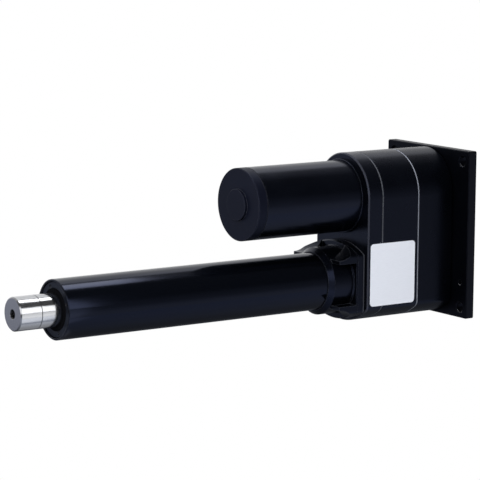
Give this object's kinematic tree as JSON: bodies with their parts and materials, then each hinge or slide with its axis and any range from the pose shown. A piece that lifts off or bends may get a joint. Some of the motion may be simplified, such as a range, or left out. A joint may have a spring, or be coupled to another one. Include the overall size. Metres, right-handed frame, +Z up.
{
  "type": "electric linear actuator",
  "caption": "Electric linear actuator: motor beside an outer tube, gear housing on a rectangular mounting plate, and a polished rod that slides out.",
  "frame": {"origin": "on the rod axis, at the back face of the mounting plate", "axes": "+X along the rod axis towards the rod end, +Z up from the rod axis towards the motor axis, +Y to the side that carries the blank nameplate"},
  "size_m": [0.5544, 0.1474, 0.19],
  "materials": {
    "black_casting": "satin",
    "black_plate": "satin",
    "black_tube": "satin",
    "black_motor": "satin",
    "polished_rod": "polished",
    "turned_steel": "satin",
    "gear_steel": "satin",
    "bearing_steel": "polished",
    "black_screws": "satin",
    "bronze": "satin",
    "copper": "satin",
    "bright_aluminium": "satin",
    "core_steel": "satin",
    "magnet": "matte",
    "black_rubber": "matte",
    "gasket_sheet": "matte",
    "nylon": "satin",
    "circuit_board": "satin",
    "black_plastic": "satin",
    "carbon": "matte",
    "blank_label": "satin"
  },
  "bodies": {
    "housing": {"mounting_plate": "black_plate", "plate_screws": "black_screws", "rear_housing": "black_casting", "rear_gasket": "gasket_sheet", "gear_case": "black_casting", "front_gasket": "gasket_sheet", "front_cover": "black_casting", "case_bolts": "black_screws", "tube_flange": "black_casting", "flange_screws": "black_screws", "outer_tube": "black_tube", "front_guide": "bright_aluminium", "guide_bush": "bronze", "rod_seal": "black_rubber", "wiper_plate": "black_tube", "wiper_plate_screws": "turned_steel", "rod_wiper": "black_rubber", "nameplate": "blank_label", "motor_front_bell": "black_motor", "motor_can": "black_motor", "motor_end_cap": "black_casting", "motor_screws": "black_screws", "motor_magnets": "magnet", "brush_holder": "black_plastic", "carbon_brushes": "carbon", "screw_front_bearing": "bearing_steel", "screw_rear_bearing": "bearing_steel", "motor_front_bearing": "bearing_steel", "motor_rear_bearing": "bearing_steel", "idler_pin": "turned_steel", "sensor_board": "circuit_board", "gland_body": "black_plastic", "gland_cap_nut": "black_plastic", "gland_lock_nut": "black_plastic"},
    "screw": {"lead_screw": "turned_steel", "screw_gear": "gear_steel", "gear_key": "turned_steel", "screw_lock_nut": "turned_steel", "screw_tip_guide": "nylon", "sensor_magnet": "magnet", "screw_front_race": "bearing_steel", "screw_rear_race": "bearing_steel"},
    "idler": {"idler_pinion": "gear_steel", "idler_gear": "gear_steel", "idler_bush": "bronze"},
    "rotor": {"motor_shaft": "turned_steel", "armature_core": "core_steel", "armature_windings": "copper", "commutator": "copper", "motor_pinion": "gear_steel", "motor_front_race": "bearing_steel", "motor_rear_race": "bearing_steel"},
    "rod": {"piston_rod": "polished_rod", "rod_end": "polished_rod", "drive_nut": "bronze", "guide_ring": "nylon", "anti_turn_key": "turned_steel"}
  },
  "joints": [
    {"name": "motor_spin", "type": "hinge", "parent": "housing", "child": "rotor", "pos_m": [0.2, 0, 0.09325], "axis": [-1, 0, 0], "range_deg": [0, 50329]},
    {"name": "idler_spin", "type": "hinge", "parent": "housing", "child": "idler", "pos_m": [0.09, 0, 0.046], "axis": [-1, 0, 0], "range_deg": [-18601, 0]},
    {"name": "screw_spin", "type": "hinge", "parent": "housing", "child": "screw", "pos_m": [0.09, 0, 0], "axis": [-1, 0, 0], "range_deg": [0, 9001]},
    {"name": "rod_slide", "type": "slide", "parent": "housing", "child": "rod", "axis": [1, 0, 0], "range_m": [0, 0.25]}
  ],
  "couplings": [
    {"joint": "idler_spin", "follows": "motor_spin", "ratio": -0.36957},
    {"joint": "screw_spin", "follows": "motor_spin", "ratio": 0.17882},
    {"joint": "rod_slide", "follows": "motor_spin", "m_per_rad": 0.0002846}
  ]
}
